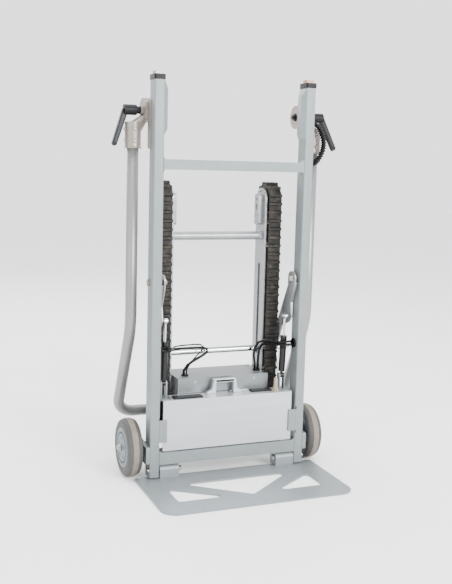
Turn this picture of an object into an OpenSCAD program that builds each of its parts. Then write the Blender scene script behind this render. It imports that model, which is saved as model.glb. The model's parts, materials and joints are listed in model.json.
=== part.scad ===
// Powered stair-climbing hand truck: two tall rails, rubber tracks that swing out behind them,
// a drop-down push handle, a fold-up toe plate and a lift-out battery.
// Millimetres. +Z is up, Y = 0 is the front face of the rails, Z = 0 is the floor.
// The right side is modelled at +X and the left side is its mirror image.

/* [Frame] */
// Width over the two rails
frame_w = 516; // [430:1:620]
// Height of the rails' upper ends above the floor
rail_top = 1201; // [1001:1:1442]
// Rail section, side to side
rail_w = 30; // [25:1:36]
// Rail section, front to back
rail_d = 50; // [48:1:60]
// Wall of the rails
rail_wall = 3; // [2:0.5:5]
// Height of the upper crossbar
upper_bar_h = 30; // [20:1:40]

/* [Wheels and toe plate] */
// Wheel diameter
wheel_d = 180; // [150:1:200]
// Tyre width
tyre_w = 48; // [40:1:58]
// Wheel axle diameter
axle_d = 16; // [12:1:20]
// Toe plate width
toe_w = 600; // [560:1:720]
// Toe plate length, front to back
toe_l = 308; // [290:1:370]
// Toe plate thickness
toe_t = 5; // [3:0.5:6]

/* [Tracks] */
// Distance between the track's two pulley axes
track_l = 724; // [700:1:760]
// Depth of the track loop over the lugs
loop_d = 112; // [104:1:116]
// Rubber belt width
belt_w = 42; // [35:1:50]
// Thickness of the belt's band
band_t = 4; // [3:0.5:5]
// Height of a lug
lug_h = 7; // [5:0.5:8]
// Drive shaft diameter
drive_d = 24; // [20:1:29]
// Diameter of the tube across the tracks
cross_tube_d = 27; // [22:1:33]

/* [Handle] */
// Handle tube diameter
tube_d = 35; // [29:1:42]
// Wall of the handle tube
tube_wall = 2; // [1.5:0.5:3]
// Diameter of the pivot discs
disc_d = 72; // [60:1:86]
// Length of a clamping lever
lever_l = 102; // [85:1:122]

/* [Battery] */
// Height of the battery case
batt_h = 158; // [132:1:160]
// Depth of the battery case, front to back
batt_d = 63; // [52:1:64]
// Thickness of the battery's front panel
batt_front_t = 4; // [3:0.5:5]

/* [Hidden] */
$fn = 64;

// fits
run = 0.05;            // radial running clearance of a pin in its hole
slip = 0.4;            // gap between parts that pass or turn inside each other
side_gap = 2;          // sideways gap between neighbouring moving plates

// rails
rail_out = frame_w / 2;
rail_in = rail_out - rail_w;
rail_r = 3;
foot_z = 6.5;          // underside of the rail
foot_solid = 118;      // the foot is solid up to here
upper_bar_z = rail_top - 257;
upper_bar_d = 25;
lower_bar_z = [48, 86];
bar_fillet = 8;
cap_h = 15;
cap_over = 2;
tab = [23, 4, 70];     // battery retaining tab: reach, thickness, height
tab_z = 118;

// handle pivot
pivot = [rail_d + disc_d / 2 + 0.5, rail_top - 86];
pivot_r = 6;
lug_x = rail_in + 4;
lug_side = 3;          // side plate of the lug against the rail
disc_r = disc_d / 2;
disc_x = rail_out + lug_side + slip;
disc_t = 8;
collar = [13, 7.5];
tube_r = tube_d / 2;
leg_x = disc_x + disc_t + 11 + tube_r;
leg_y = pivot[0] + 1.5;
socket_r = tube_r + 6.5;
socket_z = [pivot[1] - 112, pivot[1] - 35];
screw_z = [socket_z[0] + 22, socket_z[0] + 56];
leg_bend_r = 200;
corner_r = 55;
cross_bar = [drive_back() + 85, 157];   // Y and Z of the handle's bottom bar
leg_slope = 26.5;
hub_x = disc_x + disc_t + collar[1] + 0.2;
hub_r = [11, 15.5];
lever_gap = 1.2;        // lever clear of the socket
grip_x = leg_x + socket_r + lever_gap;
hub_l = [12, grip_x - hub_x - 8];

// toe plate and hinge
hinge = [12, 30];
hinge_pin_r = 5;
knuckle_r = 15;
knuckle_x = [rail_in - 64, rail_in - 2];
toe_back = 26;
toe_corner = 45;

// wheels
wheel_r = wheel_d / 2;
axle_r = axle_d / 2;
axle_y = 77;
bracket_t = 12;
wheel_x = rail_out + bracket_t + 9 + tyre_w / 2;

// tracks
function drive_back() = 156;            // Y of the track's centre plane
drive = [drive_back(), 130];
idler = [drive[0], drive[1] + track_l];
tip_r = loop_d / 2;
band_r = tip_r - lug_h;
pulley_r = band_r - band_t - slip;
lug_w = 12;
lug_pitch = 27;
plate_half = 36;
inner_t = 7;
outer_t = 5;
arm_t = 4;
arm_x = rail_in - 14;
outer_x = arm_x - side_gap - outer_t;
belt_x = outer_x - side_gap - belt_w;
inner_x = belt_x - side_gap - inner_t;
cross_tube_z = idler[1] - 118;
cover = [15, 32, 98];
cover_z = idler[1] - 82;
idler_pin_r = 8;

// swing linkage
arm_pin = [32, 608];
shaft_at = [drive[0], 363];
stud = [45, 487];
strut_foot = [57, 290];
shaft_pin_r = 5;
slot_w = 16.6;
slot_z = [shaft_at[1] - 10, 640];
strut_x = rail_in - 27;
strut_r = 11;
rod_r = 4;
stud_r = 4;
eye_play = 1.9;
shelf_z = [241, 246];

// battery and control box
batt_y = 5;
batt_z = lower_bar_z[1] + 3;
batt_top = batt_z + batt_h;
batt_wall = 2;
batt_x = strut_x - strut_r - 6;
front_x = rail_in - 12;
box_x = [-inner_x + 6, inner_x - 3];
box_y = [74, 204];
box_z = [250, 296];
sheet = 2;

// cable routes, round numbers set by hand
left_route = [[-116, 110, 300.3], [-116, 110, 312], [-104, 112, 328], [-84, 117, 339], [-64, 123, 347],
    [-44, 129, 355], [-30, 133, 363], [-29, 135, 372], [-42, 136, 377], [-64, 137, 378],
    [-92, 137, 378], [-120, 136, 378], [-144, 128, 379], [-156, 104, 382], [-168, 78, 387],
    [-182, 50, 391], [-194, 34, 395], [-212, 27, 398], [-226.3, 27, 398]];
left_thin_route = [[-109, 104, 300.3], [-109, 104, 316], [-94, 104, 340], [-74, 109, 358],
    [-56, 115, 372], [-48, 120, 384], [-57, 125, 391], [-80, 128, 391], [-104, 129, 390],
    [-128, 125, 390], [-148, 110, 391], [-160, 88, 393], [-176, 58, 398], [-192, 36, 403],
    [-212, 31, 407], [-226.3, 31, 407]];
right_route = [[143, 117, 300.3], [143, 117, 320], [143, 114, 345], [144, 111, 368], [149, 104, 384],
    [158, 92, 390], [168, 76, 391], [178, 58, 392], [186, 42, 394], [196, 30, 396], [212, 24, 397],
    [226.3, 24, 397]];
right_short_route = [[134, 121, 300.3], [134, 121, 318], [132, 127, 346], [135, 126, 370],
    [143, 117, 389], [153, 100, 398], [166, 78, 400], [180, 52, 401], [190, 30, 404], [212, 33, 405],
    [226.3, 33, 405]];
right_thin_route = [[226.3, 30, 392], [212, 30, 392], [198, 29, 386], [184, 40, 382], [180, 62, 380],
    [186, 76, 368], [193, 80, 347], [196, 80, 318], [196, 77, 290], [196, 74, 262], [196, 74, 246.3]];
hose_route = [[270, 60, 1098], [277, 60, 1098], [288, 54, 1094], [298, 48, 1084], [306, 44, 1069],
    [311, 42, 1052], [313, 41, 1035], [312, 42, 1018], [308, 45, 1002], [303, 51, 988],
    [299, 59, 979], [298, 66, 976], [298, 70.4, 976]];

// ---- helpers ----

module along_x(x, l) { translate([x, 0, 0]) rotate([90, 0, 90]) linear_extrude(l) children(); }

module along_y(y, l) { translate([0, y + l, 0]) rotate([90, 0, 0]) linear_extrude(l) children(); }

module pin_x(x, l, p, r) { translate([x, p[0], p[1]]) rotate([0, 90, 0]) cylinder(h = l, r = r); }

module cone_x(x, l, p, r1, r2) {
    translate([x, p[0], p[1]]) rotate([0, 90, 0]) cylinder(h = l, r1 = r1, r2 = r2);
}

module block(lo, hi) { translate(lo) cube(hi - lo); }

module mirrored() {
    children();
    mirror([1, 0, 0]) children();
}

module left() { mirror([1, 0, 0]) children(); }

module rounded_rect(lo, size, r) {
    translate(lo) {
        translate([r, 0]) square([size[0] - 2 * r, size[1]]);
        translate([0, r]) square([size[0], size[1] - 2 * r]);
        for (x = [r, size[0] - r], y = [r, size[1] - r]) translate([x, y]) circle(r);
    }
}

// two circles joined by their outer tangents
module link(p, q, rp, rq) {
    d = norm(q - p);
    along = (q - p) / d;
    across = [-along[1], along[0]];
    s = (rp - rq) / d;
    c = sqrt(1 - s * s);
    n1 = along * s + across * c;
    n2 = along * s - across * c;
    translate(p) rotate(atan2(along[1], along[0])) circle(rp);
    translate(q) rotate(atan2(-along[1], -along[0])) circle(rq);
    polygon([p + n1 * rp, q + n1 * rq, q + n2 * rq, p + n2 * rp]);
}

// a polygon's corners rounded, k steps a corner: each point is Y, Z and its own radius
function flat(p) = [p[0], p[1]];
function rounded(pts, k = 6) = [for (i = [0 : len(pts) - 1])
    let (p = flat(pts[i]), r = pts[i][2],
        a = flat(pts[(i + len(pts) - 1) % len(pts)]) - p,
        b = flat(pts[(i + 1) % len(pts)]) - p,
        ua = a / norm(a), ub = b / norm(b),
        half = acos(ua * ub) / 2,
        mid = (ua + ub) / norm(ua + ub),
        c = p + mid * r / sin(half),
        s = sign(cross(ua, ub)),
        a0 = atan2(mid[1], mid[0]) + 180 + s * (90 - half))
    for (j = [0 : k]) c + r * [cos(a0 - s * 2 * (90 - half) * j / k), sin(a0 - s * 2 * (90 - half) * j / k)]];

// a round tube swept through a list of points
function tangent(pts, i) = let (d = pts[min(i + 1, len(pts) - 1)] - pts[max(i - 1, 0)]) d / norm(d);
function unit(v) = v / norm(v);
function side_of(t) = unit(cross(t, abs(t[2]) > 0.9 ? [0, 1, 0] : [0, 0, 1]));
function carry(t, s) = unit(s - t * (s * t));
function sides(pts, i = 0, s = [0, 0, 0]) = i == len(pts) ? [] :
    let (t = tangent(pts, i), n = i == 0 ? side_of(t) : carry(t, s)) concat([n], sides(pts, i + 1, n));

module sweep(pts, r, k = 8) {
    n = sides(pts);
    rings = [for (i = [0 : len(pts) - 1], j = [0 : k - 1])
        let (t = tangent(pts, i), u = n[i], v = cross(t, u), a = 360 * j / k)
        pts[i] + r * (cos(a) * u + sin(a) * v)];
    last = (len(pts) - 1) * k;
    polyhedron(rings, concat(
        [[for (j = [0 : k - 1]) j]],
        [for (i = [0 : len(pts) - 2], j = [0 : k - 1])
            [i * k + j, i * k + k + j, i * k + k + (j + 1) % k, i * k + (j + 1) % k]],
        [[for (j = [k - 1 : -1 : 0]) last + j]]));
}

// ---- frame ----

module rail() color("#b9bfc4") difference() {
    union() {
        translate([0, 0, foot_z]) linear_extrude(rail_top - foot_z)
            rounded_rect([rail_in, 0], [rail_w, rail_d], rail_r);
        // thickened head on the inner side
        intersection() {
            translate([0, 0, pivot[1] - 75]) linear_extrude(165) polygon([[rail_in + 1, 0],
                [rail_in, 0], [rail_in - 13, 13], [rail_in - 13, rail_d - 15], [rail_in, rail_d],
                [rail_in + 1, rail_d]]);
            along_y(0, rail_d) polygon([[rail_in + 1, pivot[1] - 70], [rail_in, pivot[1] - 70],
                [rail_in - 13, pivot[1] - 55], [rail_in - 13, pivot[1] + 60],
                [rail_in, rail_top], [rail_in + 1, rail_top]]);
        }
        block([rail_in - tab[0], 0, tab_z], [rail_in + 1, tab[1], tab_z + tab[2]]);
    }
    // relief notches above and below the tab
    for (z = [tab_z - 9, tab_z + tab[2]]) block([rail_in - 1, -1, z], [rail_in + 5, 6, z + 9]);
    translate([0, 0, foot_solid]) linear_extrude(rail_top)
        rounded_rect([rail_in + rail_wall, rail_wall],
            [rail_w - 2 * rail_wall, rail_d - 2 * rail_wall], 1.5);
    // chamfered toe and rounded heel of the foot
    along_x(rail_in - 1, rail_w + 2) {
        polygon([[-1, 5], [8, foot_z - 0.1], [8, foot_z], [0, 9.5], [-1, 9.5]]);
        difference() {
            translate([rail_d - 15, 0]) square([20, foot_z + 15]);
            translate([rail_d - 15, foot_z + 15]) circle(15);
        }
    }
    pin_x(rail_in - 1, rail_w + 2, hinge, hinge_pin_r);
    pin_x(rail_in - 1, rail_w + 2, arm_pin, 6);
}

module left_rail() left() rail();

module right_rail() rail();

// a bar's front outline with fillets where it meets the rails
module bar_outline(z0, z1, low_fillet, fillet) {
    translate([-rail_in, z0]) square([2 * rail_in, z1 - z0]);
    for (s = [-1, 1], top = low_fillet ? [0, 1] : [1])
        translate([s * rail_in, top == 1 ? z1 : z0]) scale([-s, top == 1 ? 1 : -1]) difference() {
            square(fillet);
            translate([fillet, fillet]) circle(fillet);
        }
}

module upper_crossbar() color("#b9bfc4")
    along_y(0, upper_bar_d) bar_outline(upper_bar_z, upper_bar_z + upper_bar_h, true, bar_fillet);

module lower_crossbar() color("#b9bfc4") difference() {
    union() {
        block([-rail_in, 0, lower_bar_z[0]], [rail_in, rail_d, lower_bar_z[1]]);
        along_y(0, 4) bar_outline(lower_bar_z[0], lower_bar_z[1], false, 1.5 * bar_fillet);
    }
    block([-rail_in + 4, 4, lower_bar_z[0] - 1], [rail_in - 4, rail_d - 4, lower_bar_z[1] - 4]);
}

module rail_caps() color("#2b2c30") mirrored() {
    translate([0, 0, rail_top]) linear_extrude(cap_h)
        rounded_rect([rail_in - cap_over, -cap_over],
            [rail_w + 2 * cap_over, rail_d + 2 * cap_over], 5);
    translate([0, 0, rail_top - 18]) linear_extrude(18)
        rounded_rect([rail_in + rail_wall + 0.1, rail_wall + 0.1],
            [rail_w - 2 * rail_wall - 0.2, rail_d - 2 * rail_wall - 0.2], 1.4);
}

module cap_blocks() color("#c8a68c") mirrored()
    block([rail_in + 3, 12, rail_top + cap_h], [rail_out - 3, 38, rail_top + cap_h + 10]);

module pivot_lugs() color("#c9c3ba") mirrored() difference() {
    union() {
        pin_x(lug_x, rail_out + lug_side - lug_x, pivot, disc_r);
        block([lug_x + 2, rail_d, pivot[1] - 30], [rail_out - 2, pivot[0], pivot[1] + 30]);
        along_x(rail_out, lug_side) rounded_rect([rail_d - 20, pivot[1] - 112], [30, 140], 8);
    }
    pin_x(lug_x - 1, rail_w + lug_side + 2, pivot, pivot_r);
}

module pivot_bolts() color("#1d1e20") mirrored() {
    pin_x(lug_x - 0.2, grip_x - 4 - lug_x, pivot, pivot_r);
    pin_x(lug_x - 4, 4, pivot, 12);
    cone_x(lug_x - 12, 8, pivot, 6, 8);
}

module axle_brackets() color("#b9bfc4") mirrored() difference() {
    along_x(rail_out, bracket_t) union() {
        rounded_rect([0, 52], [rail_d, 54], 5);
        polygon([[30, 58], [30, 106], [axle_y, wheel_r + 22], [axle_y, wheel_r - 22]]);
        translate([axle_y, wheel_r]) circle(22);
    }
    pin_x(rail_out - 1, bracket_t + 2, [axle_y, wheel_r], axle_r);
}

module wheel_axles() color("#c9c9c9") mirrored() {
    pin_x(rail_out - 8, wheel_x + tyre_w / 2 + 12 - rail_out, [axle_y, wheel_r], axle_r);
    translate([rail_out - 12, axle_y, wheel_r]) rotate([0, 90, 0]) cylinder(h = 11.8, r = 14, $fn = 6);
    pin_x(rail_out + bracket_t, 8, [axle_y, wheel_r], 22);
    cone_x(wheel_x + tyre_w / 2 + 4, 9, [axle_y, wheel_r], 10, 7);
}

module hinge_bolts() color("#c9b7a0") mirrored() {
    pin_x(knuckle_x[0] - 4, rail_out + 4 - knuckle_x[0], hinge, hinge_pin_r);
    pin_x(rail_out, 5, hinge, 8);
    translate([knuckle_x[0] - 8.5, hinge[0], hinge[1]]) rotate([0, 90, 0]) cylinder(h = 8, r = 9, $fn = 6);
}

module arm_bolts() color("#c9c9c9") mirrored() {
    pin_x(arm_x - 8, rail_out + 9 - arm_x, arm_pin, 6);
    pin_x(rail_out, 6, arm_pin, 10);
    pin_x(arm_x + arm_t + 0.3, rail_in - arm_x - arm_t - 0.3, arm_pin, 9);
    cone_x(arm_x - 10.3, 10, arm_pin, 7, 11);
}

module strut_brackets() color("#aeb2b5") mirrored() {
    block([strut_x - 13, 26, shelf_z[0]], [rail_in, 78, shelf_z[1]]);
    for (x = [strut_x - 11, strut_x + 6]) along_x(x, 5) {
        translate([strut_foot[0] - 8, shelf_z[1]]) square([16, strut_foot[1] - shelf_z[1]]);
        translate(strut_foot) circle(8);
    }
    pin_x(strut_x - 12.5, 25, strut_foot, 4);
}

// ---- drive and control ----

module drive_mount() color("#8f9499")
    block([-inner_x + 4, rail_d, lower_bar_z[1] - 4], [inner_x - 4, 200, lower_bar_z[1] + 2]);

module side_brackets() color("#8f9499") mirrored() difference() {
    along_x(inner_x - 10, 5) rounded_rect([box_y[0] + 1, lower_bar_z[1] + 2],
        [119, box_z[0] - lower_bar_z[1] - 2], 6);
    pin_x(inner_x - 11, 7, drive, drive_d / 2 + run);
}

module gearbox() color("#a7a9aa") difference() {
    union() {
        along_x(-40, 80) link(drive, [112, 200], 40, 42);
        along_x(-45, 90) translate([84, lower_bar_z[1] + 2]) square([104, 30]);
    }
    pin_x(-41, 82, drive, drive_d / 2 + run);
}

module drive_motor() color("#26272a") {
    pin_x(-130, 90, [112, 200], 38);
    pin_x(-134, 4, [112, 200], 30);
    for (a = [45 : 90 : 315])
        pin_x(-133, 3, [112 + 32 * cos(a), 200 + 32 * sin(a)], 3);
}

module control_box() color("#9fa5a8") difference() {
    block([box_x[0], box_y[0], box_z[0]], [box_x[1], box_y[1], box_z[1] - sheet]);
    block([box_x[0] + sheet, box_y[0] - 1, box_z[0] + sheet],
        [box_x[1] - sheet, box_y[1] - sheet, box_z[1]]);
}

module control_lid() color("#aab0b3") difference() {
    union() {
        block([box_x[0], box_y[0], box_z[1] - sheet], [box_x[1], box_y[1] + 2, box_z[1]]);
        block([box_x[0], box_y[0] - sheet, box_z[0] - 3], [box_x[1] + 9, box_y[0], box_z[1]]);
    }
    for (p = gland_at) translate([p[0], p[1], box_z[1] - 3]) cylinder(h = 4, r = 8);
}

module box_screws() color("#e0e0de")
    for (x = [-92, 110]) translate([x, box_y[0] - sheet, box_z[1] - 13]) rotate([90, 0, 0]) {
        cylinder(h = 1.5, r = 5);
        cylinder(h = 3, r = 3);
    }

gland_at = [[-112.5, 110], [138.5, 119]];
grommet_at = [28, 401];

module cable_glands() color("#17181a") {
    for (p = gland_at) translate([p[0], p[1], 0]) {
        translate([0, 0, box_z[1]]) cylinder(h = 4, r = 12);
        translate([0, 0, box_z[1] - 6]) cylinder(h = 6, r = 7.9);
    }
    mirrored() difference() {
        pin_x(rail_in - 5, 5, grommet_at, 15);
        pin_x(rail_in - 6, 4.5, grommet_at, 13);
    }
}

module left_cables() color("#141416") {
    sweep(left_route, 4.5);
    sweep(left_thin_route, 2.5);
}

module right_cables() color("#141416") {
    sweep(right_route, 4.5);
    sweep(right_short_route, 4);
    sweep(right_thin_route, 1.5);
}

module drive_shaft() color("#c9c9c9")
    pin_x(-outer_x - outer_t - 1, 2 * (outer_x + outer_t + 1), drive, drive_d / 2);

module pulley(at, bore) difference() {
    pin_x(belt_x + 1, belt_w - 2, at, pulley_r);
    pin_x(belt_x, belt_w, at, bore);
    for (a = [30 : 60 : 330])
        pin_x(belt_x, belt_w, at + 27 * [cos(a), sin(a)], 7);
}

module drive_pulleys() color("#33353a") mirrored() pulley(drive, drive_d / 2);

// ---- tracks ----

module plate_outline() difference() {
    link(drive, idler, plate_half, plate_half);
    translate([drive[0] - slot_w / 2, slot_z[0]]) square([slot_w, slot_z[1] - slot_z[0]]);
    for (z = slot_z) translate([drive[0], z]) circle(slot_w / 2);
    translate(drive) circle(drive_d / 2 + run);
    translate(idler) circle(idler_pin_r);
}

module inner_plate() color("#b4b6b4") {
    along_x(inner_x, inner_t) plate_outline();
    // bearing boss at the drive end
    difference() {
        pin_x(inner_x - 4, 5, drive, 24);
        pin_x(inner_x - 5, 7, drive, drive_d / 2 + run);
    }
}

module left_inner_plate() left() inner_plate();

module right_inner_plate() inner_plate();

module outer_plates() color("#a3a5a3") mirrored() along_x(outer_x, outer_t) plate_outline();

module lug() polygon([[-lug_w / 2, -0.5], [-lug_w / 2 + 2.5, lug_h], [lug_w / 2 - 2.5, lug_h],
    [lug_w / 2, -0.5]]);

// the loop's band
module band_outline() difference() {
    link(drive, idler, band_r, band_r);
    link(drive, idler, band_r - band_t, band_r - band_t);
}

// lugs along both runs and round both ends
module lug_outline() {
    arc_count = round(PI * band_r / lug_pitch);
    run_count = round(track_l / lug_pitch);
    for (i = [0 : run_count - 1], s = [-1, 1])
        translate([drive[0] + s * band_r, drive[1] + (i + 0.5) * track_l / run_count])
            rotate(-s * 90) lug();
    for (i = [0 : arc_count - 1]) {
        a = 180 * (i + 0.5) / arc_count;
        translate(idler) rotate(a - 90) translate([0, band_r]) lug();
        translate(drive) rotate(a + 90) translate([0, band_r]) lug();
    }
}

module belt() color("#3a3936") {
    along_x(belt_x, belt_w) band_outline();
    along_x(belt_x, belt_w) lug_outline();
}

module left_belt() left() belt();

module right_belt() belt();

module cross_tube() color("#b9bdc0") {
    difference() {
        pin_x(-inner_x, 2 * inner_x, [drive[0], cross_tube_z], cross_tube_d / 2);
        pin_x(-inner_x - 1, 2 * inner_x + 2, [drive[0], cross_tube_z], cross_tube_d / 2 - 2.5);
    }
    mirrored() difference() {
        cone_x(inner_x - 8, 8, [drive[0], cross_tube_z], cross_tube_d / 2, cross_tube_d / 2 + 5);
        pin_x(inner_x - 9, 10, [drive[0], cross_tube_z], cross_tube_d / 2);
    }
}

module tensioner_covers() color("#b6b8b6") mirrored() {
    for (x = [inner_x - cover[0], outer_x + outer_t]) {
        depth = x > belt_x ? 8 : cover[0];
        difference() {
            along_x(x, depth)
                rounded_rect([drive[0] - cover[1] / 2, cover_z], [cover[1], cover[2]], 9);
            along_x(x > belt_x ? x + depth - 2 : x - 1, 3) {
                rounded_rect([drive[0] - 4, cover_z + 46], [8, 20], 3.9);
                translate([drive[0], cover_z + 82]) circle(4.5);
            }
        }
    }
}

module track_fasteners() color("#cfccc4") mirrored() {
    pin_x(inner_x, outer_x + outer_t - inner_x, idler, idler_pin_r);
    for (z = [drive[1] + 90, drive[1] + 160, cross_tube_z - 30, cross_tube_z + 45])
        pin_x(inner_x + inner_t, outer_x - inner_x - inner_t, [drive[0], z], 7);
    cone_x(inner_x - 4, 4, [drive[0] + 6, idler[1] + 27], 4, 6);
    cone_x(outer_x + outer_t, 3, [drive[0] + 6, idler[1] + 27], 6, 4);
    cone_x(inner_x - cover[0] - 2.5, 2.5, [drive[0], cover_z + 13], 3, 5);
    cone_x(outer_x + outer_t + 8, 2.5, [drive[0], cover_z + 13], 5, 3);
}

module idler_wheel() color("#33353a") pulley(idler, idler_pin_r + run);

module left_idler() left() idler_wheel();

module right_idler() idler_wheel();

// ---- swing linkage ----

// head round the bolt, lug for the stud, and the bar down to the slide shaft: Y, Z, corner radius
arm_outline = [[8, 632, 20], [58, 632, 20], [59, 584, 12], [178, 366, 16], [158, 338, 14],
    [134, 350, 12], [92, 448, 10], [44, 466, 14], [26, 488, 8], [36, 532, 6], [9, 590, 10]];

module arm() color("#b9bdc0") {
    difference() {
        union() {
            along_x(arm_x, arm_t) polygon(rounded(arm_outline));
            // bent front flange
            along_x(arm_x + arm_t, 8) polygon([[13, 598], [16, 600], [40, 534], [37, 532]]);
        }
        pin_x(arm_x - 1, arm_t + 10, arm_pin, 6 + run);
        pin_x(arm_x - 1, arm_t + 2, shaft_at, shaft_pin_r);
    }
    pin_x(strut_x - 6, arm_x - strut_x + 6, stud, stud_r);
    cone_x(strut_x - 10, 4, stud, 4, 6.5);
}

module left_arm() left() arm();

module right_arm() arm();

module slide_shaft() color("#e6e8ea") {
    pin_x(-inner_x + 4, 2 * (inner_x - 4), shaft_at, 10);
    mirrored() pin_x(inner_x - 4, arm_x + arm_t - inner_x + 5, shaft_at, shaft_pin_r);
}

strut_v = stud - strut_foot;
strut_len = norm(strut_v);
strut_tilt = atan2(strut_v[0], strut_v[1]);

// places children along the strut: Z runs from the foot pin to the stud
module on_strut() translate([strut_x, strut_foot[0], strut_foot[1]]) rotate([-strut_tilt, 0, 0]) children();

module strut() color("#151517") on_strut() difference() {
    union() {
        translate([-5, 0, 0]) rotate([0, 90, 0]) cylinder(h = 10, r = 8);
        translate([0, 0, 5]) cylinder(h = 12, r = 4.4);
        translate([0, 0, 14]) cylinder(h = 118, r = strut_r);
    }
    translate([-6, 0, 0]) rotate([0, 90, 0]) cylinder(h = 12, r = 4 + run);
    translate([0, 0, 24]) cylinder(h = 98, r = 8);
    translate([0, 0, 121]) cylinder(h = 12, r = rod_r + run);
}

module left_strut() left() strut();

module right_strut() strut();

module rod() color("#d8dadc") on_strut() difference() {
    union() {
        translate([0, 0, 60]) cylinder(h = strut_len - 67, r = rod_r);
        translate([0, 0, 60]) cylinder(h = 8, r = 8 - run);
        translate([-5, 0, strut_len]) rotate([0, 90, 0]) cylinder(h = 10, r = stud_r + eye_play + 3);
    }
    translate([-6, 0, strut_len]) rotate([0, 90, 0]) cylinder(h = 12, r = stud_r + eye_play);
}

module left_rod() left() rod();

module right_rod() rod();

// ---- handle ----

leg_corner_z = cross_bar[1] + (cross_bar[0] - leg_y) / tan(leg_slope);
leg_cut = leg_bend_r * tan(leg_slope / 2);
slant_l = norm([cross_bar[0] - leg_y, leg_corner_z - cross_bar[1]]) - leg_cut - corner_r;

// points of an arc from angle a to b about a centre, in the plane of u and v
function arc(c, u, v, r, a, b, k) = [for (i = [0 : k])
    let (t = a + (b - a) * i / k) c + r * (cos(t) * u + sin(t) * v)];

slant = [0, sin(leg_slope), -cos(leg_slope)];
leg_low = [leg_x, leg_y, leg_corner_z] + slant * (leg_cut + slant_l);
leg_path = concat([[leg_x, leg_y, socket_z[1] - 5]],
    arc([leg_x, leg_y + leg_bend_r, leg_corner_z + leg_cut], [0, -1, 0], [0, 0, -1], leg_bend_r, 0,
        leg_slope, 6),
    arc(leg_low - [corner_r, 0, 0], [1, 0, 0], slant, corner_r, 0, 90, 10));
handle_path = concat(leg_path, [for (i = [len(leg_path) - 1 : -1 : 0])
    [-leg_path[i][0], leg_path[i][1], leg_path[i][2]]]);

// a hollow tube swept through a list of points
module hollow_sweep(pts, ro, ri, k) {
    n = sides(pts);
    m = len(pts);
    ring = function (r) [for (i = [0 : m - 1], j = [0 : k - 1])
        let (t = tangent(pts, i), u = n[i], v = cross(t, u), a = 360 * j / k)
        pts[i] + r * (cos(a) * u + sin(a) * v)];
    inner = m * k;
    last = (m - 1) * k;
    polyhedron(concat(ring(ro), ring(ri)), [for (j = [0 : k - 1]) let (q = (j + 1) % k)
        each concat(
            [[j, q, inner + q, inner + j]],
            [[last + q, last + j, inner + last + j, inner + last + q]],
            [for (i = [0 : m - 2]) each [
                [i * k + j, i * k + k + j, i * k + k + q, i * k + q],
                [inner + i * k + q, inner + i * k + k + q, inner + i * k + k + j, inner + i * k + j]]])]);
}

module handle_tube() color("#c9cbc8") hollow_sweep(handle_path, tube_r, tube_r - tube_wall, 32);

module handle_joint() color("#cfc6bb") difference() {
    union() {
        pin_x(disc_x, disc_t, pivot, disc_r);
        pin_x(disc_x + disc_t, collar[1], pivot, collar[0]);
        translate([leg_x, leg_y, socket_z[0]]) cylinder(h = socket_z[1] - socket_z[0], r = socket_r);
        translate([leg_x, leg_y, socket_z[0]]) cylinder(h = 6, r1 = socket_r + 3, r2 = socket_r);
        hull() {
            pin_x(disc_x, disc_t, [pivot[0], pivot[1] - 26], 15, $fn = 32);
            translate([leg_x, leg_y, socket_z[1] - 30]) cylinder(h = 24, r = socket_r - 1, $fn = 32);
        }
    }
    translate([leg_x, leg_y, socket_z[0] - 1])
        cylinder(h = socket_z[1] - socket_z[0] - 3, r = tube_r + 0.1);
    for (z = screw_z) translate([leg_x, leg_y, z]) {
        translate([0, -socket_r + 0.6, 0]) rotate([90, 0, 0]) cylinder(h = 5, r = 5.6);
        translate([socket_r - 0.6, 0, 0]) rotate([0, 90, 0]) cylinder(h = 5, r = 5.6);
    }
    pin_x(disc_x - 1, disc_t + 12, pivot, pivot_r + run);
}

module left_handle_joint() left() handle_joint();

module right_handle_joint() handle_joint();

module dome(r, h) {
    cylinder(h = h * 0.45, r = r);
    translate([0, 0, h * 0.45]) cylinder(h = h * 0.55, r1 = r, r2 = r * 0.6);
}

module socket_screws() color("#d9d6d0") mirrored()
    for (z = screw_z) translate([leg_x, leg_y, z]) {
        translate([0, -socket_r + 0.6, 0]) rotate([90, 0, 0]) dome(5, 4);
        translate([socket_r - 0.6, 0, 0]) rotate([0, 90, 0]) dome(5, 4);
    }

module cable_hose() color("#151517") sweep(hose_route, 9.5, 12);

module lever(swing) color("#232427") translate([0, pivot[0], pivot[1]]) rotate([swing, 0, 0])
    difference() {
        union() {
            pin_x(hub_x, hub_l[0], [0, 0], hub_r[0]);
            pin_x(hub_x + hub_l[0], hub_l[1], [0, 0], hub_r[1]);
            along_y(-6.5, 13) link([grip_x, -2],
                [grip_x + lever_l * sin(18), -lever_l * cos(18) - 2], 9, 7);
        }
        pin_x(hub_x - 1, grip_x - hub_x - 2, [0, 0], pivot_r + run);
    }

module left_lever() left() lever(0);

module right_lever() lever(-18);

// ---- toe plate ----

module toe_plate() color("#a9b1b8") difference() {
    linear_extrude(toe_t) {
        front = toe_back - toe_l;
        difference() {
            translate([-toe_w / 2, front]) square([toe_w, toe_l]);
            for (s = [-1, 1]) {
                translate([s * toe_w / 2, front]) scale([-s, 1]) difference() {
                    translate([-1, -1]) square(toe_corner + 1);
                    translate([toe_corner, toe_corner]) circle(toe_corner);
                }
                translate([s * toe_w / 2, toe_back]) scale([-s, -1]) difference() {
                    translate([-1, -1]) square(9);
                    translate([8, 8]) circle(8);
                }
            }
            polygon(rounded([[-178, -63, 12], [178, -63, 12], [0, -206, 12]]));
            for (s = [-1, 1])
                polygon(rounded([[s * 232, -90, 12], [s * 232, -198, 12], [s * 72, -198, 12]]));
        }
    }
}

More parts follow.
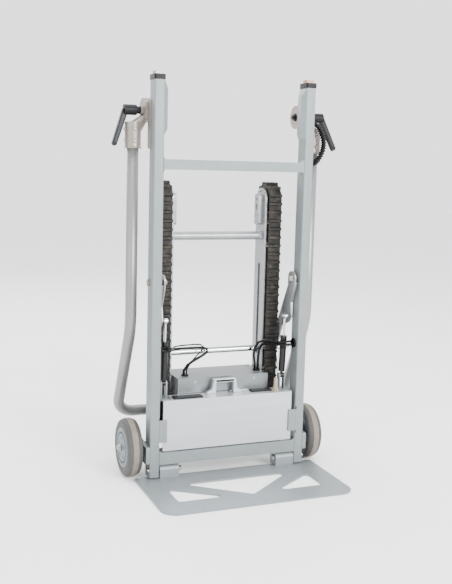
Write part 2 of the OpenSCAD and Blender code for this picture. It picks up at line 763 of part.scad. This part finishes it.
module hinge_blocks() color("#b3bac0") mirrored() difference() {
    along_x(knuckle_x[0], knuckle_x[1] - knuckle_x[0]) {
        translate(hinge) circle(knuckle_r);
        translate([hinge[0] - knuckle_r, toe_t]) square([knuckle_r, hinge[1] - toe_t]);
        translate([hinge[0], toe_t]) square([31, hinge[1] + knuckle_r - toe_t]);
    }
    pin_x(knuckle_x[0] - 1, 80, hinge, hinge_pin_r + run);
}

// ---- battery ----

module battery_case() color("#d8d9da") difference() {
    union() {
        block([-front_x, batt_y, batt_z], [front_x, batt_y + batt_front_t, batt_top]);
        block([-front_x, batt_y, batt_top - 2], [front_x, 23, batt_top]);
        block([-batt_x, batt_y, batt_z], [batt_x, batt_y + batt_d, batt_top]);
    }
    block([-batt_x + batt_wall, batt_y + batt_front_t, batt_z + batt_wall],
        [batt_x - batt_wall, batt_y + batt_d - batt_wall, batt_top - 4]);
}

module battery_cells() color("#30558a")
    for (s = [-1, 1]) translate([s * (batt_x - 4) / 2, 0, 0])
        block([-(batt_x - 8) / 2, batt_y + batt_front_t + 1, batt_z + batt_wall],
            [(batt_x - 8) / 2, batt_y + batt_d - batt_wall - 1, batt_top - 14]);

module battery_handle() color("#c9c9c6") along_y(44, 16) difference() {
    polygon([[-62, batt_top], [-60, batt_top + 6], [-44, batt_top + 14], [-37, batt_top + 46],
        [37, batt_top + 46], [44, batt_top + 14], [60, batt_top + 6], [62, batt_top]]);
    translate([-29, batt_top - 1]) square([58, 36]);
}

module battery_pads() color("#202126") {
    block([-178, 14, batt_top], [-84, 42, batt_top + 5]);
    block([87, 30, batt_top], [156, 56, batt_top + 5]);
    for (s = [-1, 1]) translate([s * 120, 0, 0])
        block([-40, 10, batt_z - 3], [40, 45, batt_z]);
}

module battery_socket() color("#d8c9ac") translate([batt_x - 13, 33, batt_top]) {
    cylinder(h = 5, r = 12);
    cylinder(h = 14, r = 9, $fn = 6);
    translate([0, 0, 14]) cylinder(h = 26, r = 6.5);
}

// ---- wheels ----

module on_axle() translate([wheel_x, axle_y, wheel_r]) rotate([0, 90, 0]) children();

module tyre() color("#6f7072") on_axle() rotate_extrude($fn = 96) polygon([
    [wheel_r - 28, -tyre_w / 2 + 2], [wheel_r - 12, -tyre_w / 2], [wheel_r - 5, -tyre_w / 2 + 4],
    [wheel_r - 1, -10], [wheel_r, -7], [wheel_r, 7], [wheel_r - 1, 10],
    [wheel_r - 5, tyre_w / 2 - 4], [wheel_r - 12, tyre_w / 2], [wheel_r - 28, tyre_w / 2 - 2]]);

module hub() color("#9aa6b0") on_axle() rotate_extrude($fn = 96) polygon([
    [axle_r + run, -tyre_w / 2 + 0.5], [22, -tyre_w / 2 + 0.5], [24, -8], [wheel_r - 38, -8],
    [wheel_r - 28, -tyre_w / 2 + 2], [wheel_r - 28, tyre_w / 2 - 2], [wheel_r - 36, tyre_w / 2],
    [wheel_r - 40, tyre_w / 2], [wheel_r - 42, tyre_w / 2 - 2], [wheel_r - 45, tyre_w / 2 - 2],
    [wheel_r - 47, tyre_w / 2], [axle_r + run, tyre_w / 2]]);

module left_tyre() left() tyre();

module right_tyre() tyre();

module left_hub() left() hub();

module right_hub() hub();

left_rail();
right_rail();
upper_crossbar();
lower_crossbar();
rail_caps();
cap_blocks();
pivot_lugs();
pivot_bolts();
axle_brackets();
wheel_axles();
hinge_bolts();
strut_brackets();
arm_bolts();
drive_mount();
side_brackets();
gearbox();
drive_motor();
control_box();
control_lid();
box_screws();
cable_glands();
left_cables();
right_cables();
drive_shaft();
drive_pulleys();
left_inner_plate();
right_inner_plate();
outer_plates();
left_belt();
right_belt();
cross_tube();
tensioner_covers();
track_fasteners();
left_idler();
right_idler();
left_arm();
right_arm();
slide_shaft();
left_strut();
right_strut();
left_rod();
right_rod();
handle_tube();
left_handle_joint();
right_handle_joint();
socket_screws();
cable_hose();
left_lever();
right_lever();
toe_plate();
hinge_blocks();
battery_case();
battery_cells();
battery_handle();
battery_pads();
battery_socket();
left_tyre();
left_hub();
right_tyre();
right_hub();
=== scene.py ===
import json
import math
import random

import bmesh
import bpy
from mathutils import Matrix, Vector


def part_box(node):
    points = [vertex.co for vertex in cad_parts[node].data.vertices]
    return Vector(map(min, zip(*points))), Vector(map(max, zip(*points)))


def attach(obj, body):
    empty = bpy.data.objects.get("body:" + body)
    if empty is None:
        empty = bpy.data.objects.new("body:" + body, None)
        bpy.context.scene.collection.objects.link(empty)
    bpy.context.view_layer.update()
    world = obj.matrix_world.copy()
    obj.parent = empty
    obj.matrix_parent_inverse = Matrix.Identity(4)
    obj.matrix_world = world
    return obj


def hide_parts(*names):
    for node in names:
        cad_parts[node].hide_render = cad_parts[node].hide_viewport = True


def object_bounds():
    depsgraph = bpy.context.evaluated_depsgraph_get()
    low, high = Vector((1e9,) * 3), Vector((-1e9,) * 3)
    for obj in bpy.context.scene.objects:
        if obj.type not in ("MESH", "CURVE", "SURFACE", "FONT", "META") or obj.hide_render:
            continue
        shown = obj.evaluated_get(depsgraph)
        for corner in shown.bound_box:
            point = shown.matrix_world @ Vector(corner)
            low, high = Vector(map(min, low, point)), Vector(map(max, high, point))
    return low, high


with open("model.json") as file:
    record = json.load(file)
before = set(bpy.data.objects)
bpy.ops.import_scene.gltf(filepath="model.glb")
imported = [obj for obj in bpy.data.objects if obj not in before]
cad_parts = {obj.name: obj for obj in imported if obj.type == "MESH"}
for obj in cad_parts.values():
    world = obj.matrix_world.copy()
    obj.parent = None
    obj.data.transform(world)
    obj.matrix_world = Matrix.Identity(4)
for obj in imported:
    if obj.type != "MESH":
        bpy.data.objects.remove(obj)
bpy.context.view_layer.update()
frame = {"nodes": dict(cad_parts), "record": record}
nodes = frame["nodes"]
slots = {s["node"]: s["material_slot"] for s in frame["record"]["subparts"]}
random.seed(7)
mm = 0.001

# where the camera stands, in metres and degrees
cameraView = {"place": (-1.046, -2.528, 0.9715), "turn": -22.03, "down": 8.23, "roll": 1.50, "lens": 55.6}


def placeCamera():
    data = bpy.data.cameras.new("studioCamera")
    data.lens = cameraView["lens"]
    data.sensor_width = 36
    data.clip_end = 60
    camera = bpy.data.objects.new("studioCamera", data)
    bpy.context.scene.collection.objects.link(camera)
    turn = Matrix.Rotation(math.radians(cameraView["turn"]), 4, "Z")
    tip = Matrix.Rotation(math.radians(90 - cameraView["down"]), 4, "X")
    roll = Matrix.Rotation(math.radians(cameraView["roll"]), 4, "Z")
    camera.matrix_world = Matrix.Translation(cameraView["place"]) @ turn @ tip @ roll
    bpy.context.scene.camera = camera


placeCamera()
print("camera placed")


def newFinish(name):
    material = bpy.data.materials.new(name)
    material.use_nodes = True
    tree = material.node_tree
    return material, tree, tree.nodes["Principled BSDF"]


def objectPlace(tree, stretch=(1, 1, 1)):
    coords = tree.nodes.new("ShaderNodeTexCoord")
    mapping = tree.nodes.new("ShaderNodeMapping")
    mapping.inputs["Scale"].default_value = stretch
    tree.links.new(coords.outputs["Object"], mapping.inputs["Vector"])
    return mapping.outputs["Vector"]


def noiseAt(tree, place, scale, detail=4.0, roughness=0.55):
    noise = tree.nodes.new("ShaderNodeTexNoise")
    noise.inputs["Scale"].default_value = scale
    noise.inputs["Detail"].default_value = detail
    noise.inputs["Roughness"].default_value = roughness
    tree.links.new(place, noise.inputs["Vector"])
    return noise.outputs["Fac"]


def ramp(tree, value, stops):
    node = tree.nodes.new("ShaderNodeValToRGB")
    elements = node.color_ramp.elements
    while len(elements) < len(stops):
        elements.new(0.5)
    for element, (at, colour) in zip(elements, stops):
        element.position = at
        element.color = (*colour, 1)
    tree.links.new(value, node.inputs["Fac"])
    return node.outputs["Color"]


def spread(tree, value, low, high):
    node = tree.nodes.new("ShaderNodeMapRange")
    node.inputs["To Min"].default_value = low
    node.inputs["To Max"].default_value = high
    tree.links.new(value, node.inputs["Value"])
    return node.outputs["Result"]


def grain(tree, shader, value, strength, distance=0.0004):
    bump = tree.nodes.new("ShaderNodeBump")
    bump.inputs["Strength"].default_value = strength
    bump.inputs["Distance"].default_value = distance
    tree.links.new(value, bump.inputs["Height"])
    tree.links.new(bump.outputs["Normal"], shader.inputs["Normal"])


def shade(colour, factor):
    return tuple(min(1.0, c * factor) for c in colour)


def surface(name, colour, metallic, rough, vary=0.08, scale=60, stretch=(1, 1, 1), bump=0.15,
            fine=900, coat=0.0, gloss=0.5):
    material, tree, shader = newFinish(name)
    place = objectPlace(tree, stretch)
    broad = noiseAt(tree, place, scale)
    tree.links.new(ramp(tree, broad, [(0.3, shade(colour, 1 - vary)), (0.7, shade(colour, 1 + vary))]),
                   shader.inputs["Base Color"])
    small = noiseAt(tree, place, fine, 3.0)
    tree.links.new(spread(tree, small, rough[0], rough[1]), shader.inputs["Roughness"])
    shader.inputs["Metallic"].default_value = metallic
    shader.inputs["Specular IOR Level"].default_value = gloss
    if coat:
        shader.inputs["Coat Weight"].default_value = coat
        shader.inputs["Coat Roughness"].default_value = 0.25
    grain(tree, shader, small, bump)
    return material


def tyreFinish():
    # grey rubber with a tan band round the middle of the tread
    look = {"grey": (0.050, 0.049, 0.047), "tan": (0.165, 0.140, 0.108),
            "bandHalf": 8.5 * mm, "tread": 82 * mm}
    material, tree, shader = newFinish("tyreRubber")
    coords = tree.nodes.new("ShaderNodeTexCoord")
    split = tree.nodes.new("ShaderNodeSeparateXYZ")
    tree.links.new(coords.outputs["Object"], split.inputs["Vector"])

    def maths(kind, a, b=None):
        node = tree.nodes.new("ShaderNodeMath")
        node.operation = kind
        for socket, value in zip(node.inputs, (a, b)):
            if value is None:
                continue
            if isinstance(value, (int, float)):
                socket.default_value = value
            else:
                tree.links.new(value, socket)
        return node.outputs["Value"]

    low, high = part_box("right_tyre")
    middle = (low + high) / 2
    across = maths("ABSOLUTE", maths("SUBTRACT", maths("ABSOLUTE", split.outputs["X"]), middle.x))
    y = maths("SUBTRACT", split.outputs["Y"], middle.y)
    z = maths("SUBTRACT", split.outputs["Z"], middle.z)
    radius = maths("SQRT", maths("ADD", maths("MULTIPLY", y, y), maths("MULTIPLY", z, z)))
    onTread = maths("MULTIPLY", maths("LESS_THAN", across, look["bandHalf"]),
                    maths("GREATER_THAN", radius, look["tread"]))
    dust = noiseAt(tree, coords.outputs["Object"], 90)
    mix = tree.nodes.new("ShaderNodeMix")
    mix.data_type = "RGBA"
    tree.links.new(onTread, mix.inputs[0])
    tree.links.new(ramp(tree, dust, [(0.3, shade(look["grey"], 0.85)), (0.7, shade(look["grey"], 1.2))]),
                   mix.inputs[6])
    tree.links.new(ramp(tree, dust, [(0.3, shade(look["tan"], 0.85)), (0.7, shade(look["tan"], 1.15))]),
                   mix.inputs[7])
    tree.links.new(mix.outputs[2], shader.inputs["Base Color"])
    tree.links.new(spread(tree, dust, 0.55, 0.8), shader.inputs["Roughness"])
    grain(tree, shader, noiseAt(tree, coords.outputs["Object"], 1400), 0.2)
    return material


def capFinish():
    # the right block is copper, the left one silver
    material, tree, shader = newFinish("capBlocks")
    place = objectPlace(tree)
    split = tree.nodes.new("ShaderNodeSeparateXYZ")
    tree.links.new(place, split.inputs["Vector"])
    side = ramp(tree, split.outputs["X"], [(0.0, (0.28, 0.28, 0.28)), (0.05, (0.30, 0.19, 0.13))])
    tree.links.new(side, shader.inputs["Base Color"])
    small = noiseAt(tree, place, 400)
    tree.links.new(spread(tree, small, 0.3, 0.45), shader.inputs["Roughness"])
    shader.inputs["Metallic"].default_value = 0.7
    grain(tree, shader, small, 0.15)
    return material


def beltFinish():
    # dark lugs with brown dust lying between them
    material, tree, shader = newFinish("beltRubber")
    place = objectPlace(tree)
    dust = noiseAt(tree, place, 55, 6.0, 0.7)
    tree.links.new(ramp(tree, dust, [(0.35, (0.004, 0.004, 0.004)), (0.52, (0.014, 0.013, 0.011)),
                                     (0.75, (0.075, 0.058, 0.042))]), shader.inputs["Base Color"])
    tree.links.new(spread(tree, dust, 0.42, 0.75), shader.inputs["Roughness"])
    shader.inputs["Specular IOR Level"].default_value = 0.25
    grain(tree, shader, noiseAt(tree, place, 420, 6.0), 0.55, 0.0008)
    return material


finishes = {
    "frame_metal": surface("frameCoat", (0.185, 0.208, 0.214), 0.25, (0.38, 0.52), 0.06, 14),
    "track_metal": surface("brushedPlate", (0.27, 0.275, 0.28), 0.7, (0.28, 0.46), 0.10, 30,
                           (1, 1, 0.06), 0.1),
    "cast_joint": surface("castJoint", (0.27, 0.24, 0.21), 0.6, (0.32, 0.48), 0.10, 45, bump=0.3),
    "tube_metal": surface("satinTube", (0.23, 0.235, 0.228), 0.5, (0.30, 0.42), 0.05, 20, (1, 1, 0.2)),
    "bright_steel": surface("polishedRod", (0.55, 0.56, 0.57), 1.0, (0.10, 0.18), 0.04, 40, bump=0.03),
    "bolt_steel": surface("zincBolt", (0.32, 0.30, 0.27), 0.9, (0.22, 0.38), 0.1, 160),
    "black_steel": surface("blackEnamel", (0.004, 0.004, 0.005), 0.0, (0.24, 0.36), 0.1, 60, gloss=0.3),
    "black_plastic": surface("blackPlastic", (0.005, 0.005, 0.006), 0.0, (0.36, 0.52), 0.15, 120, gloss=0.2),
    "cap_copper": capFinish(),
    "sheet_metal": surface("foldedSheet", (0.18, 0.195, 0.20), 0.6, (0.32, 0.48), 0.08, 35,
                           (0.15, 1, 1), 0.12),
    "toe_metal": surface("toeCoat", (0.200, 0.224, 0.234), 0.25, (0.36, 0.48), 0.05, 10),
    "battery_metal": surface("brushedCase", (0.46, 0.47, 0.495), 0.6, (0.30, 0.44), 0.06, 40,
                             (0.05, 1, 1), 0.12),
    "cell_wrap": surface("cellWrap", (0.03, 0.06, 0.15), 0.1, (0.3, 0.4)),
    "socket_plastic": surface("creamPlastic", (0.33, 0.28, 0.20), 0.1, (0.32, 0.45), 0.08, 150),
    "belt_rubber": beltFinish(),
    "cable_rubber": surface("cableSheath", (0.003, 0.003, 0.0035), 0.0, (0.32, 0.45), 0.1, 120, gloss=0.2),
    "tyre_rubber": tyreFinish(),
    "hub_plastic": surface("hubPlastic", (0.115, 0.145, 0.165), 0.0, (0.36, 0.5), 0.05, 60, gloss=0.3),
    "wheel_plastic": surface("pulleyPlastic", (0.01, 0.01, 0.011), 0.0, (0.4, 0.55), 0.1, 100, gloss=0.2),
    "motor_metal": surface("motorEnamel", (0.01, 0.01, 0.011), 0.1, (0.35, 0.5), 0.1, 80, gloss=0.3),
    "gear_metal": surface("castHousing", (0.21, 0.215, 0.22), 0.6, (0.4, 0.55), 0.08, 60, bump=0.35),
}
# painted sheen: a colour a little lighter than the black plastic, for the levers' face plates
leverFacePaintedSheen = surface("leverFacePaintedSheen", (0.012, 0.0125, 0.014), 0.0, (0.3, 0.42), 0.08, 80, gloss=0.3)
print("finishes made", len(finishes))


edgeWidth = {"toe_plate": 1.2, "rail_caps": 1.6, "left_rail": 1.0, "right_rail": 1.0, "battery_case": 1.0,
             "left_tyre": 2.5, "right_tyre": 2.5, "left_lever": 2.4, "right_lever": 2.4,
             "battery_handle": 2.0, "battery_pads": 1.5, "left_belt": 0.8, "right_belt": 0.8,
             "hinge_blocks": 1.2, "control_lid": 0.6, "control_box": 0.4, "cap_blocks": 1.6,
             "left_handle_joint": 1.2, "right_handle_joint": 1.2, "pivot_lugs": 1.2}
roundOnly = ["left_cables", "right_cables", "handle_tube", "cable_hose"]


def softenEdges(node, name):
    mesh = node.data
    normals = mesh.attributes.get("custom_normal")
    if normals:
        mesh.attributes.remove(normals)
    mesh.polygons.foreach_set("use_smooth", [True] * len(mesh.polygons))
    weld = node.modifiers.new("joinCorners", "WELD")
    weld.merge_threshold = 1e-5
    if name in roundOnly:
        return
    bevel = node.modifiers.new("softEdge", "BEVEL")
    bevel.width = edgeWidth.get(name, 0.5) * mm
    bevel.segments = 2
    bevel.limit_method = "ANGLE"
    bevel.angle_limit = math.radians(32)
    bevel.harden_normals = True
    bevel.use_clamp_overlap = True


for name, node in nodes.items():
    node.data.materials.clear()
    node.data.materials.append(finishes[slots[name]])
    softenEdges(node, name)
print("solid pieces finished", len(nodes))


def meshPiece(name, verts, faces, slotName, body, material=None, smooth=True):
    mesh = bpy.data.meshes.new(name)
    mesh.from_pydata([tuple(v) for v in verts], [], faces)
    mesh.validate()
    shell = bmesh.new()
    shell.from_mesh(mesh)
    bmesh.ops.recalc_face_normals(shell, faces=shell.faces)
    shell.to_mesh(mesh)
    shell.free()
    mesh.polygons.foreach_set("use_smooth", [smooth] * len(mesh.polygons))
    piece = bpy.data.objects.new(name, mesh)
    bpy.context.scene.collection.objects.link(piece)
    mesh.materials.append(material or finishes[slotName])
    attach(piece, body)
    return piece


class Shape:
    def __init__(self):
        self.verts = []
        self.faces = []

    def add(self, verts, faces):
        start = len(self.verts)
        self.verts += [Vector(v) for v in verts]
        self.faces += [tuple(start + i for i in face) for face in faces]

    # rings of points joined into a closed skin
    def rings(self, rings, closed=False):
        count = len(rings[0])
        verts = [v for ring in rings for v in ring]
        faces = []
        for i in range(len(rings) - (0 if closed else 1)):
            here, there = i * count, (i + 1) % len(rings) * count
            for j in range(count):
                k = (j + 1) % count
                faces.append((here + j, here + k, there + k, there + j))
        if not closed:
            faces.append(tuple(range(count - 1, -1, -1)))
            faces.append(tuple((len(rings) - 1) * count + j for j in range(count)))
        self.add(verts, faces)

    # a turned piece: profile of (distance along, radius) from a place along an axis
    def turned(self, place, axis, profile, sides=24):
        axis = Vector(axis).normalized()
        u = axis.orthogonal().normalized()
        v = axis.cross(u)
        rings = []
        for along, radius in profile:
            rings.append([Vector(place) + axis * along + radius * (math.cos(a) * u + math.sin(a) * v)
                          for a in [2 * math.pi * j / sides for j in range(sides)]])
        self.rings(rings)

    def block(self, low, high):
        (a, b, c), (d, e, f) = low, high
        verts = [(x, y, z) for x in (a, d) for y in (b, e) for z in (c, f)]
        self.add(verts, [(0, 1, 3, 2), (4, 6, 7, 5), (0, 4, 5, 1), (2, 3, 7, 6), (0, 2, 6, 4), (1, 5, 7, 3)])

    def made(self, name, slotName, body, material=None, smooth=False, soft=0.0):
        piece = meshPiece(name, self.verts, self.faces, slotName, body, material, smooth)
        if soft:
            bevel = piece.modifiers.new("softEdge", "BEVEL")
            bevel.width = soft
            bevel.segments = 2
            bevel.limit_method = "ANGLE"
            bevel.angle_limit = math.radians(35)
        return piece


def smoothRoute(points, steps):
    points = [Vector(p) for p in points]
    out = []
    for i in range(len(points) - 1):
        p0 = points[max(i - 1, 0)]
        p1, p2 = points[i], points[i + 1]
        p3 = points[min(i + 2, len(points) - 1)]
        for j in range(steps):
            t = j / steps
            out.append(0.5 * ((2 * p1) + (p2 - p0) * t + (2 * p0 - 5 * p1 + 4 * p2 - p3) * t * t
                              + (3 * p1 - p0 - 3 * p2 + p3) * t * t * t))
    out.append(points[-1])
    return out


def sweptRings(route, radii, sides):
    rings = []
    side = None
    for i, point in enumerate(route):
        ahead = route[min(i + 1, len(route) - 1)] - route[max(i - 1, 0)]
        ahead.normalize()
        side = ahead.orthogonal() if side is None else side - ahead * side.dot(ahead)
        side.normalize()
        other = ahead.cross(side)
        rings.append([point + radii[i] * (math.cos(a) * side + math.sin(a) * other)
                      for a in [2 * math.pi * j / sides for j in range(sides)]])
    return rings


def mirroredX(points):
    return [(-x, y, z) for x, y, z in points]


# corrugated hose from the handle's pivot down into its tube
hose = {"outer": 9.6 * mm, "inner": 6.2 * mm, "ribs": 20, "sides": 24,
        "route": [(270, 60, 1098), (277, 60, 1098), (288, 54, 1094), (298, 48, 1084), (306, 44, 1069),
                  (311, 42, 1052), (313, 41, 1035), (312, 42, 1018), (308, 45, 1002), (303, 51, 988),
                  (299, 59, 979), (298, 66, 976), (298, 70.4, 976)]}


def makeHose():
    fineRoute = smoothRoute([Vector(p) * mm for p in hose["route"]], 12)
    lengths = [0.0]
    for a, b in zip(fineRoute, fineRoute[1:]):
        lengths.append(lengths[-1] + (b - a).length)
    perRib = 8
    count = hose["ribs"] * perRib
    route, radii, at = [], [], 0
    for i in range(count + 1):
        goal = lengths[-1] * i / count
        while at < len(lengths) - 2 and lengths[at + 1] < goal:
            at += 1
        t = (goal - lengths[at]) / (lengths[at + 1] - lengths[at])
        route.append(fineRoute[at].lerp(fineRoute[at + 1], t))
        wave = 0.5 - 0.5 * math.cos(2 * math.pi * i / perRib)
        radii.append(hose["inner"] + (hose["outer"] - hose["inner"]) * wave ** 0.8)
    shape = Shape()
    shape.rings(sweptRings(route, radii, hose["sides"]))
    piece = shape.made("corrugatedHose", "cable_rubber", "handle", smooth=True)
    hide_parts("cable_hose")


makeHose()

# slightly lighter face plates on the two clamping levers, which paint the sheen on the black levers, and the
# levers' end buttons
lever = {"tilt": 18, "long": 78, "wide": 9, "proud": 0.8, "rootX": 46, "leftTurn": 0, "rightTurn": -18}


def makeLeverFace(side, turn):
    low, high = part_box("left_handle_joint" if side < 0 else "right_handle_joint")
    pivotY = (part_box("left_lever")[0].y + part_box("left_lever")[1].y) / 2
    pivotZ = 1.115
    hubX = 277.1 * mm
    tilt = math.radians(lever["tilt"])
    down = Vector((math.sin(tilt), 0, -math.cos(tilt)))
    across = Vector((math.cos(tilt), 0, math.sin(tilt)))
    root = Vector((hubX + lever["rootX"] * mm, 0, -2 * mm)) + down * 16 * mm
    face = []
    for k in range(13):
        a = math.pi * k / 12
        face.append(root + across * math.cos(a) * 5.0 * mm - down * math.sin(a) * 5.0 * mm)
    tip = root + down * lever["long"] * mm
    for k in range(13):
        a = math.pi * k / 12
        face.append(tip - across * math.cos(a) * 4.0 * mm + down * math.sin(a) * 4.0 * mm)
    frontY, backY = -(6.5 + lever["proud"]) * mm, -6.0 * mm
    spin = Matrix.Rotation(math.radians(turn), 3, "X")
    centre = Vector((0, pivotY, pivotZ))
    front = [spin @ Vector((p.x, frontY, p.z)) + centre for p in face]
    back = [spin @ Vector((p.x, backY, p.z)) + centre for p in face]
    if side < 0:
        front, back = [[Vector((-p.x, p.y, p.z)) for p in ring] for ring in (front, back)]
    shape = Shape()
    shape.rings([back, front])
    body = "left_clamp" if side < 0 else "right_clamp"
    name = "leverFaceLeft" if side < 0 else "leverFaceRight"
    # the face plate carries the painted sheen of the lever
    shape.made(name, "black_plastic", body, leverFacePaintedSheen, soft=0.4 * mm)
    button = Shape()
    endX = (hubX + 50 * mm)
    button.turned((side * endX, pivotY, pivotZ), (side, 0, 0),
                  [(-0.5 * mm, 5.5 * mm), (1.2 * mm, 5.5 * mm), (2.2 * mm, 4.2 * mm)])
    button.made("leverButtonLeft" if side < 0 else "leverButtonRight", "bolt_steel", body)


makeLeverFace(-1, lever["leftTurn"])
makeLeverFace(1, lever["rightTurn"])
print("hose and lever faces made")

# screws and weld beads of the frame
screwLook = {"head": 4.2 * mm, "high": 2.2 * mm}


def screwHeads(name, places, axis, body, slotName="bolt_steel", scale=1.0):
    shape = Shape()
    r, h = screwLook["head"] * scale, screwLook["high"] * scale
    for place in places:
        shape.turned(place, axis, [(-0.3 * mm, r), (0.5 * h, r), (0.85 * h, 0.8 * r), (h, 0.45 * r),
                                   (0.6 * h, 0.42 * r), (0.6 * h, 0.1 * r)], 16)
    return shape.made(name, slotName, body)


def beadRoute(points, radius, body, name):
    route = smoothRoute(points, 14)
    radii = [radius * (0.85 + 0.3 * random.random()) for _ in route]
    shape = Shape()
    shape.rings(sweptRings(route, radii, 8))
    return shape.made(name, slots["left_rail"] if body == "frame" else slots["cross_tube"], body, smooth=True)


railLow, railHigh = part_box("right_rail")
barLow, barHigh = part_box("upper_crossbar")
railIn = barHigh.x


def frameWelds():
    for side, word in ((-1, "Left"), (1, "Right")):
        x = side * (railIn - 0.4 * mm)
        top = barHigh.z - 8 * mm
        beadRoute([(x, barHigh.y + 0.2 * mm, barLow.z + 10 * mm), (x, barHigh.y + 0.2 * mm, top)], 1.6 * mm,
                  "frame", "upperWeld" + word)
        low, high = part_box("strut_brackets")
        under = low.z - 0.4 * mm
        beadRoute([(x, low.y + 2 * mm, under), (x, railHigh.y - 2 * mm, under)], 1.5 * mm,
                  "frame", "shelfWeld" + word)


frameWelds()
boxLow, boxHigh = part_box("control_lid")
screwHeads("lidScrews", [(x, y, boxHigh.z) for x in (boxLow.x + 12 * mm, boxHigh.x - 22 * mm)
                         for y in (boxLow.y + 14 * mm, boxHigh.y - 14 * mm)], (0, 0, 1), "frame")
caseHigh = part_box("battery_case")[1]


# trim of the battery: a grip strip on the carry handle and two screw heads on the handle
def batteryTrim():
    low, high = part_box("battery_handle")
    strip = Shape()
    strip.block((-30 * mm, low.y - 0.8 * mm, high.z - 8.5 * mm), (30 * mm, low.y + 0.4 * mm, high.z - 2 * mm))
    strip.made("gripStrip", "black_plastic", "battery", soft=0.6 * mm)
    for side in (-1, 1):
        screwHeads("handleScrewLeft" if side < 0 else "handleScrewRight",
                   [(side * 53 * mm, low.y + 8 * mm, caseHigh.z + 9.4 * mm)], (0, 0, 1), "battery")


batteryTrim()

# screws of the track plates: on the covers and at the plates' ends


def trackScrews():
    low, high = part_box("tensioner_covers")
    y = (low.y + high.y) / 2
    for side, word in ((-1, "Left"), (1, "Right")):
        inner = Shape()
        outer = Shape()
        for up in (30, 62):
            for dy in (-9, 9):
                inner.turned((side * 139 * mm, y + dy * mm, low.z + up * mm), (-side, 0, 0),
                             [(-0.4 * mm, 2.6 * mm), (1.0 * mm, 2.6 * mm), (1.5 * mm, 1.8 * mm)], 12)
                outer.turned((side * 220 * mm, y + dy * mm, low.z + up * mm), (side, 0, 0),
                             [(-0.4 * mm, 2.6 * mm), (1.0 * mm, 2.6 * mm), (1.5 * mm, 1.8 * mm)], 12)
        inner.made("coverScrewsInner" + word, "bolt_steel", "track_unit")
        outer.made("coverScrewsOuter" + word, "bolt_steel", "track_unit")


trackScrews()


# bolt heads and a raised seam ring on the hub faces
wheel = {"bolts": 5, "boltRing": 30 * mm, "seam": 46 * mm}


def wheelTrim(side):
    word = "Left" if side < 0 else "Right"
    body = "left_wheel" if side < 0 else "right_wheel"
    low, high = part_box("left_tyre" if side < 0 else "right_tyre")
    centre = (low + high) / 2
    face = low.x if side < 0 else high.x
    bolts = Shape()
    for k in range(wheel["bolts"]):
        a = 2 * math.pi * (k + 0.25) / wheel["bolts"]
        place = (face, centre.y + wheel["boltRing"] * math.cos(a), centre.z + wheel["boltRing"] * math.sin(a))
        bolts.turned(place, (side, 0, 0),
                     [(-0.5 * mm, 3.4 * mm), (1.2 * mm, 3.4 * mm), (1.9 * mm, 2.4 * mm)], 16)
    bolts.made("hubBolts" + word, "hub_plastic", body)
    seam = Shape()
    rings = []
    for k in range(72):
        a = 2 * math.pi * k / 72
        out = Vector((0, math.cos(a), math.sin(a)))
        middle = Vector((face - side * 1.6 * mm, centre.y, centre.z))
        rings.append([middle + out * r + Vector((side * h, 0, 0))
                      for r, h in ((wheel["seam"] - 1.6 * mm, 0), (wheel["seam"] + 1.6 * mm, 0),
                                   (wheel["seam"] + 1.2 * mm, 1.2 * mm),
                                   (wheel["seam"] - 1.2 * mm, 1.2 * mm))])
    seam.rings(rings, closed=True)
    seam.made("capSeam" + word, "wheel_plastic", body, smooth=True)


wheelTrim(-1)
wheelTrim(1)

# ties that hold the cables together
tie = {"wide": 3.2 * mm, "radius": 5.6 * mm, "places": [((-196, 33.5, 399.4), (-1, -0.2, 0.2)),
                                                     ((188, 41, 398.5), (0.7, -0.8, 0.1))]}


def makeTies():
    for k, (place, axis) in enumerate(tie["places"]):
        shape = Shape()
        axis = Vector(axis).normalized()
        u = Vector((0, 0, 1))
        v = axis.cross(u).normalized()
        rings = []
        for j in range(28):
            a = 2 * math.pi * j / 28
            out = (math.cos(a) * u * 1.45 + math.sin(a) * v) * tie["radius"]
            grow = 1.12
            middle = Vector(place) * mm
            half = axis * tie["wide"] / 2
            rings.append([middle + out - half, middle + out * grow - half,
                          middle + out * grow + half, middle + out + half])
        shape.rings(rings, closed=True)
        shape.made("cableTie" + str(k + 1), "black_plastic", "frame")


makeTies()
print("screws, welds and ties made")


studio = {"floor": (0.97, 0.97, 0.97), "reach": 14.0,
          "lights": [("keyLight", (1.6, -4.4, 2.4), 1.6, 330), ("fillLight", (-3.4, -1.6, 1.6), 1.6, 20),
                     ("backLight", (-0.8, 3.4, 2.8), 2.2, 90), ("topLight", (0, 0.0, 4.2), 2.6, 110)],
          "air": (0.98, 0.99, 1.0), "airPower": 2.2}


def makeStudio():
    low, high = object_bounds()
    mesh = bpy.data.meshes.new("floor")
    reach = studio["reach"]
    z = min(0.0, low[2]) - 0.0005
    mesh.from_pydata([(-reach, -reach, z), (reach, -reach, z), (reach, reach, z), (-reach, reach, z)], [],
                     [(0, 1, 2, 3)])
    floor = bpy.data.objects.new("floor", mesh)
    bpy.context.scene.collection.objects.link(floor)
    floor.data.materials.append(surface("floorPaper", studio["floor"], 0.0, (0.7, 0.85), 0.01, 3, bump=0.02))
    for name, place, size, power in studio["lights"]:
        data = bpy.data.lights.new(name, "AREA")
        data.energy = power
        data.size = size
        light = bpy.data.objects.new(name, data)
        light.location = place
        aim = Vector((0, 0, 0.6)) - Vector(place)
        light.rotation_euler = aim.to_track_quat("-Z", "Y").to_euler()
        bpy.context.scene.collection.objects.link(light)
    world = bpy.data.worlds.new("studioAir")
    world.use_nodes = True
    background = world.node_tree.nodes["Background"]
    background.inputs["Color"].default_value = (*studio["air"], 1)
    background.inputs["Strength"].default_value = studio["airPower"]
    bpy.context.scene.world = world


makeStudio()
print("studio made")
